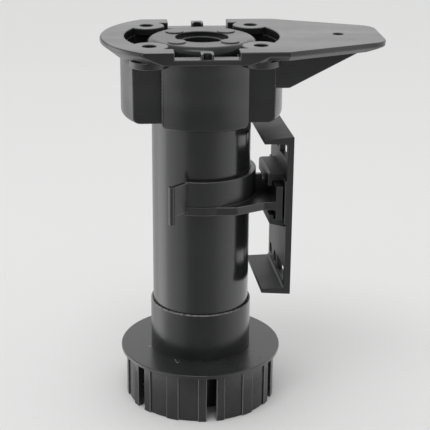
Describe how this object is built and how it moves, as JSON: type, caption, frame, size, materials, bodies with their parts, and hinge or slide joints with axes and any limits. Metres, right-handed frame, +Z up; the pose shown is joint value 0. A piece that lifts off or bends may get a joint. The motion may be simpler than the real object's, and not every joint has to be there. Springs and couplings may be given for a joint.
{
  "type": "adjustable cabinet leg",
  "caption": "Round plastic cabinet leg with a screw foot, a tongued mounting plate with a socket, and a spring clip that carries a sliding plinth bracket",
  "frame": {"origin": "on the leg's axis, at the floor, in the middle of the foot's flat base", "axes": "+Z up along the leg to the cabinet, +X along the tongue of the mounting plate, +Y completes a right-handed frame"},
  "size_m": [0.0863, 0.0522, 0.12],
  "materials": {
    "plate_plastic": "satin moulded, dark charcoal",
    "tube_plastic": "satin moulded, dark charcoal",
    "foot_plastic": "satin moulded, dark charcoal",
    "clip_plastic": "satin moulded, dark charcoal"
  },
  "bodies": {
    "foot": {"foot": "foot_plastic"},
    "collar": {"collar": "tube_plastic"},
    "tube": {"leg_tube": "tube_plastic"},
    "plate": {"mounting_plate": "plate_plastic"},
    "clip": {"plinth_clip": "clip_plastic"},
    "bracket": {"plinth_bracket": "clip_plastic"}
  },
  "joints": [
    {"name": "foot_turn", "type": "hinge", "parent": "foot", "child": "collar", "pos_m": [0, 0, 0], "axis": [0, 0, 1], "range_deg": [0, 2160]},
    {"name": "foot_height", "type": "slide", "parent": "collar", "child": "tube", "axis": [0, 0, 1], "range_m": [0, 0.015]},
    {"name": "tube_turn", "type": "hinge", "parent": "tube", "child": "plate", "pos_m": [0, 0, 0.105], "axis": [0, 0, 1], "continuous": true},
    {"name": "clip_height", "type": "slide", "parent": "tube", "child": "clip", "axis": [0, 0, 1], "range_m": [-0.02, 0.0036]},
    {"name": "bracket_slide", "type": "slide", "parent": "clip", "child": "bracket", "axis": [-0.0523, 0.9986, 0], "range_m": [-0.01, 0.01]}
  ],
  "couplings": [
    {"joint": "foot_turn", "follows": "foot_height", "rad_per_m": 2513.3}
  ]
}
